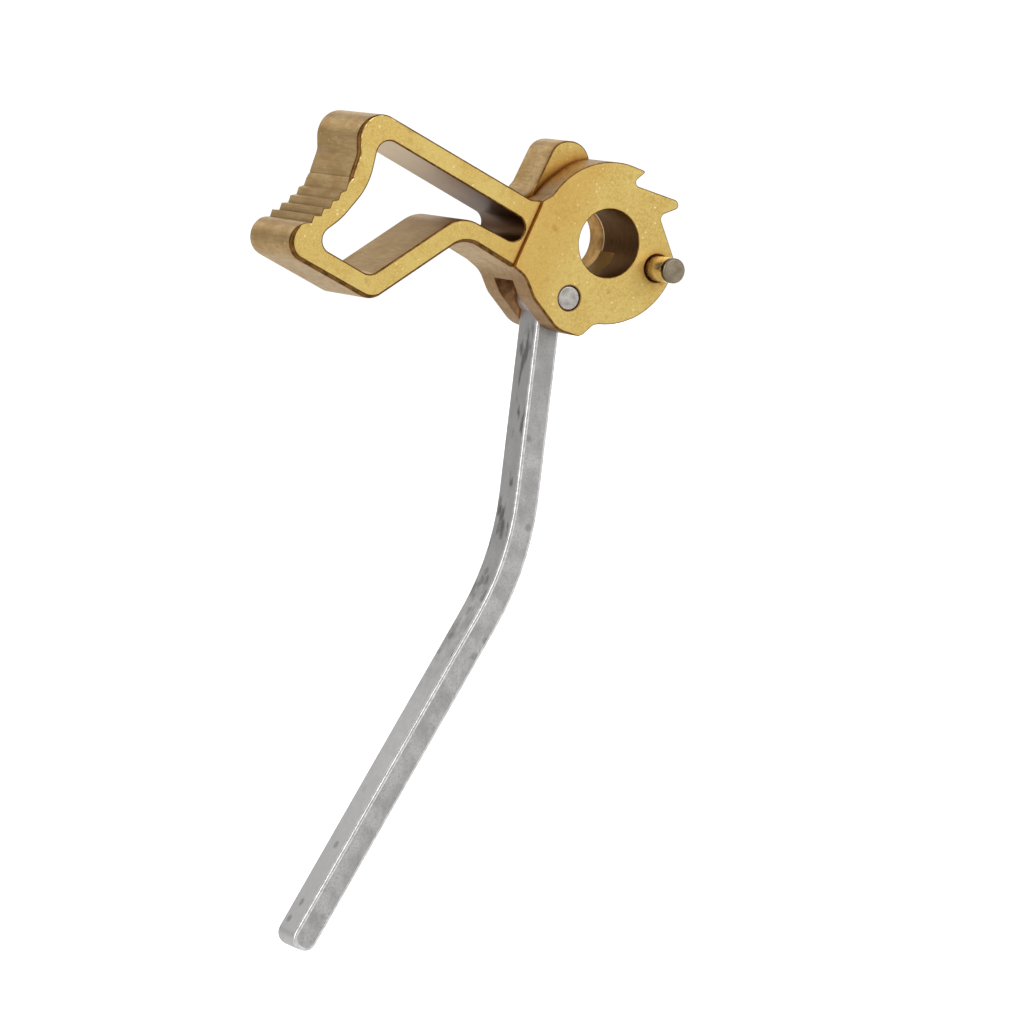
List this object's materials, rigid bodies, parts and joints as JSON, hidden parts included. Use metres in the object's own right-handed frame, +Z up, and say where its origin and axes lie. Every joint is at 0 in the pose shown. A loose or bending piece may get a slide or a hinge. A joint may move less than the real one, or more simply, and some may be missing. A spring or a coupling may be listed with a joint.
{
  "type": "replica pistol hammer with strut",
  "caption": "Skeletonised airsoft-replica hammer: round hooked hub with a pivot bore, open thumb spur and side pin, and a long bent strut hinged in the hub's slot.",
  "frame": {"origin": "on the pivot bore's axis, halfway through the hub's thickness", "axes": "+Y along the pivot bore's axis, away from the side pin; +Z up, with the strut hanging down; the spur points to -X"},
  "size_m": [0.0317, 0.0098, 0.0606],
  "materials": {
    "gold_coating": "bead-blasted satin under a gold-coloured titanium-nitride type coating",
    "pin_steel": "turned bright steel with a light surface haze",
    "strut_steel": "tumbled mid-grey steel with dark handling marks and bright edges"
  },
  "bodies": {
    "hammer": {"hammer_body": "gold_coating", "strut_pin": "pin_steel", "side_pin": "pin_steel"},
    "strut_arm": {"strut": "strut_steel"}
  },
  "joints": [
    {"name": "strut_swing", "type": "hinge", "parent": "hammer", "child": "strut_arm", "pos_m": [-0.00332, 0, -0.00387], "axis": [0, 1, 0], "range_deg": [-60, 30]}
  ]
}
